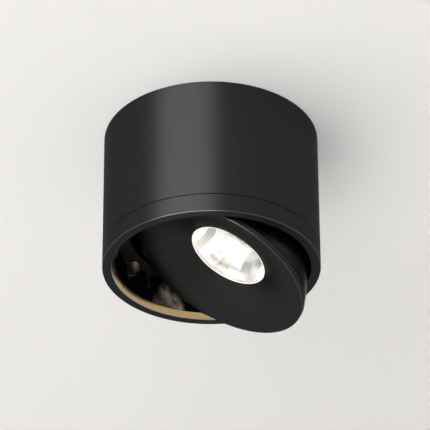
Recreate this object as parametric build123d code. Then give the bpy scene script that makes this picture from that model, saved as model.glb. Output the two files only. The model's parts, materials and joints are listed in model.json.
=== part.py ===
"""Surface mounted ceiling spotlight: a round housing, a turning lower ring and a tilting round head.

The origin is the centre of the ceiling plane. +Z points up into the ceiling, so the fitting hangs in -Z.
Lengths are millimetres and angles are degrees.

Three frames are used. Housing pieces are drawn in the fitting's own frame. Pieces on the turning ring
are drawn with +X towards the side the lamp leans to, and turned to the aim. Head pieces are drawn about
the tilt centre with +Z out of the back of the head, and then tilted.
"""
from build123d import *
from collections import namedtuple
import os
from math import asin, cos, degrees, hypot, radians, sin, sqrt

ScrewSize = namedtuple("ScrewSize", "radius head_radius head_height")

# ---- driving dimensions -------------------------------------------------------------------------
# overall
body_diameter = 120.0
housing_height = 72.5
seam_gap = 0.5
ring_height = 10.8
tube_wall = 2.5

# aim of the lamp as modelled
aim_azimuth = 186.0
tilt_angle = 28.9
tilt_max = 30.0

# mouth of the turning ring
rim_width = 5.0
rim_chamfer = 0.5
lip_width = 2.2
lip_height = 3.45
accent_inset = 0.15
accent_edge = 0.5
accent_face = 0.25
spigot_wall = 2.0
spigot_step = 0.4

# head: the tilt centre lies in front of the face
face_recess = 1.15
face_to_pivot = 8.45
disc_gap = 1.4
disc_thickness = 3.5
disc_edge_chamfer = 0.4
dish_depth = 10.5
dish_edge_slope = 5.0
aperture_diameter = 45.6
gasket_thickness = 0.8
gasket_inset = 1.9
gasket_width = 4.7
web_inset = 2.3
web_shoulder = 0.6
web_gap = 1.6
sink_step = 0.47
sink_crown = 3.3

# optics, from the aperture back to the seat of the light source
aperture_land = 0.25
bezel_thickness = 1.2
bezel_show = 1.2
glass_thickness = 1.6
glass_overlap = 1.2
glass_play = 0.1
optic_play = 0.3
reflector_wall = 1.2
reflector_facets = 20
reflector_flange = 0.8
reflector_bulge = 2.2
reflector_throat_gap = 0.8
# share of the depth and of the mouth radius at each bend of the facets
reflector_bends = ((0.35, 0.90), (0.70, 0.66))
emitter_radius = 7.0
emitter_height = 0.5
board_radius = 12.0
board_thickness = 1.4
pad_thickness = 0.4
pad_bore_radius = 3.5
holder_radius = 20.0
holder_lip = 1.2
holder_screw_circle = 16.0
holder_screw_bite = 2.8
holder_notch_width = 6.0
collar_wall = 3.1
collar_length = 5.8
collar_play = 0.2

# heat sink
seat_depth = 8.0
core_thickness = 3.5
core_wall = 2.4
shell_wall = 2.7
shell_open_drop = 15.0
fin_count = 16
fin_thickness = 2.8
fin_hub_radius = 12.0
sink_floor = 3.3
pin_boss_wall = 5.5

# arc guide of the tilt
guide_radius = 26.0
guide_centre = 5.0
guide_spread = 10.0
guide_overtravel = 1.0
guide_band = 4.6
guide_clearance = 0.6
guide_headroom = 0.8
recess_margin = 1.5
roller_radius = 2.5
roller_clearance = 0.1
pin_radius = 1.5
pin_head_radius = 3.0
pin_head_height = 2.0
pin_bite = 6.0
pad_hole_play = 0.1
washer_radius = 3.8
washer_thickness = 0.7
bracket_thickness = 2.0
bracket_gap = 1.5
bracket_setback = 4.0
side_play = 0.15
foot_width_back = 17.0
foot_width_front = 8.0
foot_thickness = 2.0
foot_screw_inset = 4.0

# carrier ring and bearing of the turn
carrier_thickness = 2.0
carrier_clearance = 1.15
carrier_edge_gap = 0.4
carrier_screw_angles = (40.0, 140.0, 220.0, 320.0)
boss_radius = 3.0
boss_rise = 2.0
boss_inset = 1.35
boss_screw_length = 6.0
boss_hole_spare = 1.0
shelf_height = 3.0
shelf_clearance = 0.4
glide_thickness = 1.0
glide_shown_inset = 1.4
glide_edge_gap = 0.6
glide_bore_play = 0.2
glide_play = 0.05
stop_width = 3.5
stop_height = 2.5
stop_reach = 3.0
stop_lug_gap = 0.5
stop_clearance = 0.3
lug_root = 1.0

# ceiling plate
plate_thickness = 1.5
plate_edge_gap = 0.7
slot_spacing = 65.0
slot_length = 12.0
slot_width = 5.0
cable_hole_radius = 6.0
grommet_wall = 3.0
grommet_lip = 2.0
earth_screw_place = (-22.0, -26.0)
earth_washer_radius = 4.5
earth_washer_thickness = 1.0
earth_head_radius = 3.5
earth_head_height = 2.0
tab_width = 12.0
tab_length = 10.5
tab_inset = 1.5
lock_screw_radius = 2.0
lock_screw_angles = (30.0, 150.0)
lock_screw_sink = 0.3
hook_angle = 270.0
hook_lug_height = 2.5
hook_reach = 3.7
hook_clearance = 0.7
hook_edge_gap = 0.5

# gear tray and what stands on it
tray_thickness = 1.5
tray_clearance = 2.3
tray_edge_gap = 0.3
tray_hole_play = 0.2
tray_lug_angles = (45.0, 165.0, 285.0)
tray_lug_depth = 6.0
tray_lug_reach = 6.5
tray_screw_length = 6.0
driver_width = 40.0
driver_end_gap = 15.5
driver_ear = 8.0
driver_ear_width = 16.0
driver_ear_height = 2.5
driver_corner = 4.0
driver_ear_corner = 3.0
driver_screw_share = 0.55
wiring_space = 11.0
terminal_poles = 3
terminal_pitch = 10.0
terminal_depth = 12.0
terminal_height = 11.0
terminal_offset = 29.5
terminal_web_height = 3.0
tower_half_width = 3.6
tunnel_half_width = 1.7
tunnel_height = 4.5
release_half_width = 1.5
release_inset = 3.0
release_depth = 4.5
terminal_screw_size = ScrewSize(1.25, 1.3, 1.2)
clamp_length = 26.0
clamp_width = 8.0
clamp_height = 5.0
clamp_offset = 31.0
clamp_screw_share = 0.36
cord_radius = 3.5
tray_hole = (30.0, -27.0)
small_grommet_bore = 2.5
small_grommet_wall = 1.5
small_grommet_flange = 1.6
tray_grommet_lip = 1.2
head_grommet_lip = 1.0
head_grommet_depth = 3.0

# small fasteners
tray_size = ScrewSize(1.5, 2.7, 1.5)
small_size = ScrewSize(1.25, 2.3, 1.5)
thread_gap = 0.05

# how far a cutting shape runs past what it cuts
over = 1.0

# ---- sizes that follow --------------------------------------------------------------------------
body_r = body_diameter / 2
tube_r = body_r - tube_wall
ring_top = -housing_height - seam_gap
rim_z = ring_top - ring_height
throat_r = body_r - rim_width - lip_width
spigot_inner = throat_r + spigot_step
spigot_outer = spigot_inner + spigot_wall

pivot_z = rim_z + face_recess - face_to_pivot
disc_r = throat_r - disc_gap
aperture_r = aperture_diameter / 2
disc_back = face_to_pivot + disc_thickness
sink_front = disc_back + gasket_thickness
sweep_r = hypot(disc_r, disc_back)
sink_r = sweep_r - sink_step
sink_back = sink_r - sink_crown
seat_z = sink_back - seat_depth
aperture_z = face_to_pivot + dish_depth
bezel_z = aperture_z + aperture_land
glass_z = bezel_z + bezel_thickness
glass_r = aperture_r + glass_overlap
reflector_z = glass_z + glass_thickness
board_z = seat_z - pad_thickness - board_thickness
holder_z = board_z - holder_lip
open_z = sink_r - shell_open_drop
collar_r = glass_r + collar_wall
collar_z = bezel_z + collar_length

carrier_rise = guide_radius + washer_radius + guide_headroom - carrier_thickness
carrier_z = pivot_z + carrier_rise
carrier_inner = sqrt(sweep_r ** 2 - carrier_rise ** 2) + carrier_clearance
carrier_outer = tube_r - carrier_edge_gap
flat_y = carrier_inner - bracket_thickness - bracket_gap - bracket_setback
bracket_y = flat_y + bracket_gap
carrier_top = carrier_z + carrier_thickness
carrier_screw_circle = spigot_inner - boss_inset
carrier_middle = (carrier_inner + carrier_outer) / 2
shelf_z = carrier_z - glide_thickness - shelf_height
shelf_r = spigot_outer + shelf_clearance

tray_z = pivot_z + sweep_r + tray_clearance
tray_top = tray_z + tray_thickness
driver_height = -plate_thickness - wiring_space - tray_top
driver_half = tube_r - driver_end_gap
plate_r = tube_r - plate_edge_gap
tab_outer = plate_r - tab_inset
tab_inner = tab_outer - plate_thickness
tab_low = -plate_thickness - tab_length
tray_lug_middle = tube_r - tray_lug_reach / 2
lip_r = body_r - rim_width
accent_top = rim_z + lip_height + accent_edge
gasket_inner = disc_r - gasket_inset - gasket_width
small_bush_r = small_grommet_bore + small_grommet_wall
optic_r = glass_r + optic_play
throat_hole_r = emitter_radius + reflector_throat_gap

ring_frame = Location((0, 0, 0), (0, 0, aim_azimuth))
head_frame = ring_frame * Location((0, 0, pivot_z), (0, -tilt_angle, 0))


# ---- helpers ------------------------------------------------------------------------------------
def rod(radius, z0, z1, x=0.0, y=0.0):
    """Upright round bar from z0 to z1."""
    low, high = min(z0, z1), max(z0, z1)
    return Pos(x, y, low) * Cylinder(radius, high - low, align=(Align.CENTER, Align.CENTER, Align.MIN))


def ring(outer, inner, z0, z1):
    """Flat ring about the Z axis."""
    return rod(outer, z0, z1) - rod(inner, z0 - over, z1 + over)


def block(x0, x1, y0, y1, z0, z1):
    """Box between two corners."""
    return Pos((x0 + x1) / 2, (y0 + y1) / 2, (z0 + z1) / 2) * Box(x1 - x0, y1 - y0, z1 - z0)


def side_rod(radius, y0, y1, x, z):
    """Round bar along Y."""
    middle = Pos(x, (y0 + y1) / 2, z) * Rot(90, 0, 0)
    return middle * Cylinder(radius, abs(y1 - y0))


def turned(*lines):
    """Revolve a closed outline of radius and height about Z."""
    outline = Curve() + list(lines)
    return revolve(Plane.XZ * make_face(outline.edges()), Axis.Z)


def around(angles, shape):
    """Copies of a shape turned about Z, as one group."""
    return [Rot(0, 0, angle) * shape for angle in angles]


def both_sides(shape):
    """A shape and its mirror image across the tilt plane."""
    return [shape, mirror(shape, Plane.XZ)]


def guide_point(angle):
    """Point of the guide arc, in the tilt plane, at an angle from the back of the head."""
    return guide_radius * sin(radians(angle)), guide_radius * cos(radians(angle))


# ---- pieces of the housing ----------------------------------------------------------------------
def housing_tube():
    """Tube with a bearing shelf, three tray lugs, a hook lug and the stop of the turn."""
    shell = ring(body_r, tube_r, -housing_height, 0)
    shell += ring(tube_r + lug_root, shelf_r, shelf_z, shelf_z + shelf_height)
    for lug in around(tray_lug_angles, tray_lug()):
        shell += lug
    hook_top = tab_low + plate_thickness + hook_lug_height
    hook_lug = block(tube_r - hook_reach, tube_r + lug_root, -tab_width / 2, tab_width / 2,
                     hook_top - hook_lug_height, hook_top)
    shell += Rot(0, 0, hook_angle) * hook_lug
    stop = block(tube_r - stop_reach, tube_r + lug_root, -stop_width / 2, stop_width / 2,
                 carrier_top + stop_clearance, carrier_top + stop_height)
    shell += Rot(0, 0, aim_azimuth) * stop
    for hole in around(lock_screw_angles, lock_screw(lock_screw_radius + thread_gap, body_r + over)):
        shell -= hole
    return shell


def tray_lug():
    """Lug with a pilot hole that carries the gear tray."""
    lug = block(tube_r - tray_lug_reach, tube_r + lug_root, -tab_width / 2, tab_width / 2,
                tray_z - tray_lug_depth, tray_z)
    return lug - rod(tray_size.radius, tray_z - tray_lug_depth - over, tray_z + over, tray_lug_middle)


def lock_screw(radius, end):
    """Headless screw along X through the wall into a tab of the ceiling plate."""
    bar = Cylinder(radius, end - tab_inner)
    return Pos((tab_inner + end) / 2, 0, tab_low + tab_length / 2) * (Rot(0, 90, 0) * bar)


def housing_lock_screws():
    """Two headless screws on the wall side, just inside the tube's face."""
    return around(lock_screw_angles, lock_screw(lock_screw_radius, body_r - lock_screw_sink))


def ceiling_plate():
    """Steel disc with slotted holes, two screw tabs and a hook tab folded down."""
    plate = rod(plate_r, -plate_thickness, 0)
    slot = extrude(SlotOverall(slot_length, slot_width), plate_thickness + 2 * over)
    for side in (-1, 1):
        plate -= Pos(side * slot_spacing / 2, 0, -plate_thickness - over) * slot
    plate -= rod(cable_hole_radius + grommet_wall, -plate_thickness - over, over)
    plate -= rod(lock_screw_radius, -plate_thickness - over, over, *earth_screw_place)
    half = tab_width / 2
    tab = block(tab_inner, tab_outer, -half, half, tab_low, -plate_thickness)
    tab -= lock_screw(lock_screw_radius + thread_gap, body_r)
    for copy in around(lock_screw_angles, tab):
        plate += copy
    hook_x = tube_r - hook_reach - hook_clearance
    hook = block(hook_x - plate_thickness, hook_x, -half, half, tab_low, -plate_thickness)
    hook += block(hook_x - plate_thickness, plate_r - hook_edge_gap, -half, half,
                  tab_low, tab_low + plate_thickness)
    return plate + Rot(0, 0, hook_angle) * hook


def cable_grommet():
    """Rubber bush in the cable hole of the ceiling plate."""
    outer = cable_hole_radius + grommet_wall
    bush = rod(outer, -plate_thickness - grommet_lip, 0)
    bush += rod(outer + grommet_lip, -plate_thickness - grommet_lip, -plate_thickness)
    return bush - rod(cable_hole_radius, -plate_thickness - grommet_lip - over, over)


def earth_screw():
    """Earth screw with its washer under the ceiling plate."""
    washer_low = -plate_thickness - earth_washer_thickness
    screw = rod(lock_screw_radius - thread_gap, washer_low, 0)
    screw += rod(earth_washer_radius, washer_low, -plate_thickness)
    screw += rod(earth_head_radius, washer_low - earth_head_height, washer_low)
    return Pos(*earth_screw_place) * screw


def gear_tray():
    """Bulkhead between the gear and the head, resting on the tray lugs."""
    low, high = tray_z - over, tray_top + over
    tray = rod(tube_r - tray_edge_gap, tray_z, tray_top)
    for hole in around(tray_lug_angles, rod(tray_size.radius + tray_hole_play, low, high, tray_lug_middle)):
        tray -= hole
    for x, y in driver_screw_places() + clamp_screw_places():
        tray -= rod(tray_size.radius, low, high, x, y)
    for x, y in terminal_screw_places():
        tray -= rod(terminal_screw_size.radius, low, high, x, y)
    return tray - rod(small_bush_r, low, high, *tray_hole)


def tray_screws():
    """Three screws through the tray into the lugs of the tube."""
    return around(tray_lug_angles, screw_at(tray_lug_middle, 0, tray_top, tray_screw_length, tray_size))


def screw_at(x, y, z, length, size):
    """Pan-head screw pointing down, its head resting at z."""
    shank = rod(size.radius - thread_gap, z - length, z, x, y)
    return shank + rod(size.head_radius, z, z + size.head_height, x, y)


def driver_screw_places():
    """Both ends of the driver."""
    x = driver_half + driver_ear * driver_screw_share
    return [(-x, 0.0), (x, 0.0)]


def led_driver():
    """Driver case with rounded corners and a screw ear at each end."""
    case = extrude(RectangleRounded(2 * driver_half, driver_width, driver_corner), driver_height)
    length = 2 * (driver_half + driver_ear)
    case += extrude(RectangleRounded(length, driver_ear_width, driver_ear_corner), driver_ear_height)
    driver = Pos(0, 0, tray_top) * case
    for x, y in driver_screw_places():
        driver -= rod(tray_size.radius, tray_z, tray_top + driver_height + over, x, y)
    return driver


def driver_screws():
    """Two screws through the ears into the tray."""
    length = driver_ear_height + tray_thickness
    return [screw_at(x, y, tray_top + driver_ear_height, length, tray_size) for x, y in driver_screw_places()]


def terminal_screw_places():
    """Fixing holes between the poles of the terminal block."""
    return [(side * terminal_pitch / 2, terminal_offset + terminal_depth / 2) for side in (-1, 1)]


def terminal_block():
    """Row of spring poles, each a tower with a wire tunnel and two release wells."""
    y0, y1 = terminal_offset, terminal_offset + terminal_depth
    first = -(terminal_poles - 1) / 2 * terminal_pitch
    body = block(first, -first, y0, y1, tray_top, tray_top + terminal_web_height)
    tunnel_z = tray_top + tunnel_height
    top = tray_top + terminal_height
    for index in range(terminal_poles):
        x = first + index * terminal_pitch
        body += block(x - tower_half_width, x + tower_half_width, y0, y1, tray_top, top)
        body -= block(x - tunnel_half_width, x + tunnel_half_width, y0 - over, y1 + over,
                      tunnel_z - tunnel_half_width, tunnel_z + tunnel_half_width)
        for y in (y0 + release_inset, y1 - release_inset):
            body -= block(x - release_half_width, x + release_half_width, y - release_half_width,
                          y + release_half_width, top - release_depth, top + over)
    for x, y in terminal_screw_places():
        hole = terminal_screw_size.radius + thread_gap
        body -= rod(hole, tray_z, tray_top + terminal_web_height + over, x, y)
    return body


def terminal_screws():
    """Two fixing screws between the poles into the tray."""
    length = terminal_web_height + tray_thickness
    head_z = tray_top + terminal_web_height
    return [screw_at(x, y, head_z, length, terminal_screw_size) for x, y in terminal_screw_places()]


def clamp_screw_places():
    """Two screws beside the cord."""
    return [(side * clamp_length * clamp_screw_share, -clamp_offset - clamp_width / 2) for side in (-1, 1)]


def cord_clamp():
    """Saddle that holds the supply cord down on the tray."""
    y0, y1 = -clamp_offset - clamp_width, -clamp_offset
    saddle = block(-clamp_length / 2, clamp_length / 2, y0, y1, tray_top, tray_top + clamp_height)
    saddle -= side_rod(cord_radius, y0 - over, y1 + over, 0, tray_top)
    for x, y in clamp_screw_places():
        saddle -= rod(tray_size.radius, tray_z, tray_top + clamp_height + over, x, y)
    return saddle


def cord_clamp_screws():
    """Screws of the saddle into the tray."""
    length = clamp_height + tray_thickness
    return [screw_at(x, y, tray_top + clamp_height, length, tray_size) for x, y in clamp_screw_places()]


def tray_grommet():
    """Bush with a flange on both sides of the tray for the lamp lead."""
    low, high = tray_z - tray_grommet_lip, tray_top + tray_grommet_lip
    flange = small_bush_r + small_grommet_flange
    bush = rod(small_bush_r, low, high) + rod(flange, low, tray_z) + rod(flange, tray_top, high)
    return Pos(*tray_hole) * (bush - rod(small_grommet_bore, low - over, high + over))


def glide_ring_upper():
    """Slip ring on the shelf, under the carrier ring."""
    return ring(carrier_outer - glide_edge_gap, shelf_r, carrier_z - glide_thickness, carrier_z)


def glide_ring_lower():
    """Slip ring in the seam between the tube and the turning ring."""
    return ring(body_r - glide_shown_inset, shelf_r + glide_bore_play, ring_top + glide_play, -housing_height)


# ---- pieces of the turning ring -----------------------------------------------------------------
def turning_ring():
    """Lower ring with a seat for the accent ring, a spigot and four screw bosses."""
    body = turned(Polyline(
        (body_r, ring_top), (body_r, rim_z + rim_chamfer), (body_r - rim_chamfer, rim_z),
        (lip_r + accent_inset, rim_z), (lip_r, rim_z + accent_inset), (lip_r, accent_top),
        (spigot_inner, accent_top), (spigot_inner, carrier_z), (spigot_outer, carrier_z),
        (spigot_outer, ring_top), (body_r, ring_top)))
    boss_low = ring_top + boss_rise
    boss = rod(boss_radius, boss_low, carrier_z, carrier_screw_circle)
    keep = ring(spigot_outer, head_clear_radius(boss_low), boss_low, carrier_z)
    hole_low = carrier_z - boss_screw_length - boss_hole_spare
    hole = rod(small_size.radius, hole_low, carrier_z + over, carrier_screw_circle)
    for angle in carrier_screw_angles:
        body += Rot(0, 0, angle) * (boss & keep)
        body -= Rot(0, 0, angle) * hole
    return body


def head_clear_radius(height):
    """Radius that stays clear of the tilting head at a height."""
    return sqrt(sweep_r ** 2 - (height - pivot_z) ** 2) + carrier_clearance / 2


def accent_ring():
    """Gold ring in the mouth: a cone that narrows to a sharp throat."""
    return turned(Polyline(
        (lip_r, rim_z + accent_inset), (lip_r - accent_face, rim_z + accent_inset),
        (throat_r, rim_z + lip_height), (throat_r + spigot_step, accent_top), (lip_r, accent_top),
        (lip_r, rim_z + accent_inset)))


def carrier_ring():
    """Plate on the spigot that hangs the ring on the shelf and carries the arc brackets."""
    plate = ring(carrier_outer, carrier_inner, carrier_z, carrier_top)
    low, high = carrier_z - over, carrier_top + over
    for hole in around(carrier_screw_angles, rod(small_size.radius, low, high, carrier_screw_circle)):
        plate -= hole
    for x, y in foot_screw_places():
        for hole in both_sides(rod(small_size.radius, low, high, x, y)):
            plate -= hole
    lug = block(-carrier_outer, -carrier_outer + stop_reach - stop_lug_gap, -stop_width / 2, stop_width / 2,
                carrier_z, carrier_top + stop_height)
    return plate + lug


def carrier_screws():
    """Screws through the carrier ring into the spigot."""
    length = boss_screw_length + carrier_thickness
    return around(carrier_screw_angles, screw_at(carrier_screw_circle, 0, carrier_top, length, small_size))


def foot_screw_places():
    """Screw places of one bracket foot, on the middle of the carrier ring."""
    ends = (foot_screw_inset - foot_width_back, foot_width_front - foot_screw_inset)
    return [(x, sqrt(carrier_middle ** 2 - x ** 2)) for x in ends]


def arc_bracket():
    """Upright plate with the arc slot of the tilt and a foot on the carrier ring."""
    first = 90 - guide_centre - guide_spread - guide_overtravel
    arc = CenterArc((0, 0), guide_radius, first, 2 * (guide_spread + guide_overtravel) + tilt_max)
    foot_low = carrier_rise + carrier_thickness
    foot_high = foot_low + foot_thickness
    neck = Pos((foot_width_front - foot_width_back) / 2, (guide_radius + foot_high) / 2) * Rectangle(
        foot_width_front + foot_width_back, foot_high - guide_radius)
    profile = SlotArc(arc, 2 * guide_band) + neck - SlotArc(arc, 2 * (roller_radius + roller_clearance))
    face = Plane(origin=(0, bracket_y + bracket_thickness, pivot_z), x_dir=(1, 0, 0), z_dir=(0, -1, 0))
    plate = extrude(face * profile, bracket_thickness)
    plate -= block(-body_r, body_r, 0, body_r, carrier_top + foot_thickness, 0)
    foot = block(-foot_width_back, foot_width_front, bracket_y, body_r, carrier_top,
                 carrier_top + foot_thickness)
    foot &= rod(carrier_outer - stop_reach, carrier_top - over, carrier_top + foot_thickness + over)
    for x, y in foot_screw_places():
        foot -= rod(small_size.radius, carrier_top - over, carrier_top + foot_thickness + over, x, y)
    return plate + foot


def bracket_screws():
    """Four screws through the feet into the carrier ring."""
    length = foot_thickness + carrier_thickness
    screws = []
    for x, y in foot_screw_places():
        screws += both_sides(screw_at(x, y, carrier_top + foot_thickness, length, small_size))
    return screws


# ---- pieces of the head, about the tilt centre --------------------------------------------------
def front_disc():
    """Dished front disc with a flange and a threaded collar behind it."""
    edge = (disc_r - disc_edge_chamfer, face_to_pivot)
    slope = radians(dish_edge_slope)
    dish = TangentArc(edge, (aperture_r, aperture_z), tangent=(-cos(slope), sin(slope)))
    outline = Polyline(
        (aperture_r, aperture_z), (aperture_r, bezel_z), (glass_r, bezel_z), (glass_r, collar_z),
        (collar_r, collar_z), (collar_r, aperture_z + web_shoulder), (gasket_inner - web_inset, disc_back),
        (disc_r, disc_back), (disc_r, face_to_pivot + disc_edge_chamfer), edge)
    return turned(outline, dish)


def disc_gasket():
    """Dark seal in the groove between the disc and the heat sink."""
    return ring(disc_r - gasket_inset, gasket_inner, disc_back, sink_front)


def lens_bezel():
    """Thin bright ring round the glass."""
    return ring(glass_r - thread_gap, aperture_r - bezel_show, bezel_z, glass_z)


def cover_glass():
    """Flat clear glass behind the bezel."""
    return rod(glass_r - glass_play, glass_z, reflector_z)


def reflector():
    """Faceted cup from the glass to the light source, with a seating flange."""
    depth = holder_z - reflector_z
    mouth = aperture_r - bezel_show
    flange_r = glass_r - glass_play
    flange_top = reflector_z + reflector_flange
    waist = (mouth + throat_hole_r) / 2 + reflector_bulge + reflector_wall
    cup = turned(Polyline(
        (0, reflector_z), (flange_r, reflector_z), (flange_r, flange_top),
        (mouth + reflector_wall, flange_top), (waist, reflector_z + depth * 0.55),
        (throat_hole_r + reflector_wall, holder_z), (0, holder_z), (0, reflector_z)))
    levels = ((0.0, mouth), *((share, mouth * narrow) for share, narrow in reflector_bends),
              (1.0, throat_hole_r))
    for (low, low_r), (high, high_r) in zip(levels, levels[1:]):
        sections = [Pos(0, 0, reflector_z + depth * share) * RegularPolygon(radius, reflector_facets)
                    for share, radius in ((low, low_r), (high, high_r))]
        cup -= loft([section.face() for section in sections], ruled=True)
    return cup


def heat_sink():
    """Round body of the head: a ball with a seat for the light source and a pocket full of fins."""
    front_r = sqrt(sink_r ** 2 - sink_front ** 2)
    back_r = sqrt(sink_r ** 2 - sink_back ** 2)
    bore_r = collar_r + thread_gap
    ball = turned(
        Polyline((0, seat_z), (optic_r, seat_z), (optic_r, collar_z + collar_play),
                 (bore_r, collar_z + collar_play), (bore_r, aperture_z + web_shoulder + web_gap),
                 (gasket_inner - optic_play, sink_front), (front_r, sink_front)),
        ThreePointArc((front_r, sink_front), (sink_r * sqrt(0.5), sink_r * sqrt(0.5)), (back_r, sink_back)),
        Polyline((back_r, sink_back), (0, sink_back), (0, seat_z)))
    ball -= fin_pocket(max(glass_r, bore_r) + core_wall)
    for recess in both_sides(side_recess()):
        ball -= recess
    ball -= rod(small_bush_r, seat_z - over, sink_back + over)
    for x, z in pin_places():
        for hole in both_sides(side_rod(pin_radius, flat_y - pin_bite, flat_y + over, x, z)):
            ball -= hole
    for x in (-holder_screw_circle, holder_screw_circle):
        ball -= rod(small_size.radius, seat_z - over, seat_z + holder_screw_bite + thread_gap, x)
    return ball


def side_recess():
    """Fan about the tilt axis, cut into one side of the ball, that the arc bracket swings through."""
    reach = guide_spread + guide_overtravel + tilt_max + degrees(asin(guide_band / guide_radius))
    far = 2 * sink_r
    edges = [guide_centre + share * (reach + recess_margin) for share in (-1, 0, 1)]
    corners = [(far * sin(radians(angle)), far * cos(radians(angle))) for angle in edges]
    fan = make_face(Polyline((0, 0), *corners, close=True))
    fan -= Circle(guide_radius - guide_band - guide_clearance)
    side = Plane(origin=(0, far, 0), x_dir=(1, 0, 0), z_dir=(0, -1, 0))
    return extrude(side * fan, far - flat_y)


def fin_pocket(inner):
    """Space between the fins, open at the back, as one cutting shape."""
    wall_r = sink_r - shell_wall
    floor_z = sink_front + sink_floor
    core_z = seat_z + core_thickness
    bend_z = floor_z + (open_z - floor_z) / 2
    pocket = turned(Polyline(
        (inner, floor_z), (sqrt(wall_r ** 2 - floor_z ** 2), floor_z),
        (sqrt(wall_r ** 2 - bend_z ** 2), bend_z), (sqrt(wall_r ** 2 - open_z ** 2), open_z),
        (sink_r, open_z), (sink_r, sink_back + over), (fin_hub_radius, sink_back + over),
        (fin_hub_radius, core_z), (inner, core_z), (inner, floor_z)))
    far = 2 * sink_r
    for index in range(fin_count):
        fin = block(0, far, -fin_thickness / 2, fin_thickness / 2, 0, far)
        pocket -= Rot(0, 0, (index + 0.5) * 360 / fin_count) * fin
    boss_x = [x + side * pin_boss_wall for side, (x, _) in zip((-1, 1), pin_places())]
    for boss in both_sides(block(*boss_x, flat_y - pin_bite - pin_boss_wall, far, 0, far)):
        pocket -= boss
    return pocket


def head_grommet():
    """Bush for the lamp lead at the back of the heat sink."""
    top = sink_back + head_grommet_lip
    low = sink_back - head_grommet_depth
    bush = rod(small_bush_r - thread_gap, low, top)
    bush += rod(small_bush_r + small_grommet_flange, sink_back, top)
    return bush - rod(small_grommet_bore, low - over, top + over)


def pin_places():
    """Both guide pins in the tilt plane."""
    return [guide_point(guide_centre - guide_spread), guide_point(guide_centre + guide_spread)]


def thermal_pad():
    """Soft pad between the board and the heat sink."""
    return ring(board_radius - pad_thickness, pad_bore_radius, seat_z - pad_thickness, seat_z)


def led_board():
    """Round metal-core board."""
    return rod(board_radius, board_z, board_z + board_thickness)


def led_emitter():
    """Round light source on the board."""
    return rod(emitter_radius, board_z - emitter_height, board_z)


def led_holder():
    """Plastic holder that clamps the board on the heat sink."""
    holder = ring(holder_radius, throat_hole_r, holder_z, seat_z)
    holder -= rod(board_radius + glass_play, board_z, seat_z + over)
    half = holder_notch_width / 2
    for x in (-holder_screw_circle, holder_screw_circle):
        holder -= rod(small_size.radius, holder_z - over, seat_z + over, x)
    for notch in both_sides(block(-half, half, board_radius, holder_radius + over, board_z, seat_z + over)):
        holder -= notch
    return holder


def holder_screws():
    """Two screws through the holder into the heat sink, heads towards the glass."""
    screws = []
    for x in (-holder_screw_circle, holder_screw_circle):
        screw = rod(small_size.radius - thread_gap, holder_z, seat_z + holder_screw_bite, x)
        screws.append(screw + rod(small_size.head_radius, holder_z - small_size.head_height, holder_z, x))
    return screws


def guide_pins():
    """Shoulder screws that run in the arc slots."""
    shoulder = bracket_y + bracket_thickness + side_play + washer_thickness
    pins = []
    for x, z in pin_places():
        pin = side_rod(pin_radius - thread_gap, flat_y - pin_bite, shoulder, x, z)
        pins += both_sides(pin + side_rod(pin_head_radius, shoulder, shoulder + pin_head_height, x, z))
    return pins


def guide_rollers():
    """Bushes on the pins that fill the arc slots."""
    start = bracket_y - side_play
    end = bracket_y + bracket_thickness + side_play
    rollers = []
    for x, z in pin_places():
        roller = side_rod(roller_radius, start, end, x, z)
        rollers += both_sides(roller - side_rod(pin_radius, start - over, end + over, x, z))
    return rollers


def guide_washers():
    """Washers between the pin heads and the brackets."""
    start = bracket_y + bracket_thickness + side_play
    end = start + washer_thickness
    washers = []
    for x, z in pin_places():
        washer = side_rod(washer_radius, start, end, x, z)
        washers += both_sides(washer - side_rod(pin_radius, start - over, end + over, x, z))
    return washers


def friction_pads():
    """Pad on each flat of the heat sink that holds the tilt."""
    end = bracket_y - side_play
    (x0, z0), (x1, z1) = pin_places()
    pad = block(x0 - washer_radius, x1 + washer_radius, flat_y, end,
                min(z0, z1) - washer_radius, max(z0, z1) + washer_radius)
    for x, z in pin_places():
        pad -= side_rod(pin_radius + pad_hole_play, flat_y - over, end + over, x, z)
    return both_sides(pad)


# ---- the assembly -------------------------------------------------------------------------------
fixed_nodes = {
    "ceiling_plate": ceiling_plate,
    "cable_grommet": cable_grommet,
    "earth_screw": earth_screw,
    "housing_tube": housing_tube,
    "housing_lock_screws": housing_lock_screws,
    "gear_tray": gear_tray,
    "tray_screws": tray_screws,
    "tray_grommet": tray_grommet,
    "led_driver": led_driver,
    "driver_screws": driver_screws,
    "terminal_block": terminal_block,
    "terminal_screws": terminal_screws,
    "cord_clamp": cord_clamp,
    "cord_clamp_screws": cord_clamp_screws,
    "glide_ring_upper": glide_ring_upper,
    "glide_ring_lower": glide_ring_lower,
}
ring_nodes = {
    "turning_ring": turning_ring,
    "accent_ring": accent_ring,
    "carrier_ring": carrier_ring,
    "carrier_screws": carrier_screws,
    "arc_bracket_near": arc_bracket,
    "arc_bracket_far": lambda: mirror(arc_bracket(), Plane.XZ),
    "bracket_screws": bracket_screws,
}
head_nodes = {
    "front_disc": front_disc,
    "disc_gasket": disc_gasket,
    "lens_bezel": lens_bezel,
    "cover_glass": cover_glass,
    "reflector": reflector,
    "heat_sink": heat_sink,
    "head_grommet": head_grommet,
    "thermal_pad": thermal_pad,
    "led_board": led_board,
    "led_emitter": led_emitter,
    "led_holder": led_holder,
    "holder_screws": holder_screws,
    "guide_pins": guide_pins,
    "guide_rollers": guide_rollers,
    "guide_washers": guide_washers,
    "friction_pads": friction_pads,
}


def save(name, shape, frame):
    """Write one node, which is one solid or a group of separate solids."""
    pieces = shape if isinstance(shape, list) else [shape]
    solids = [solid for piece in pieces for solid in (frame * piece).solids()]
    whole = solids[0] if len(solids) == 1 else Compound(solids)
    export_step(whole, f"parts/{name}.step")


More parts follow.
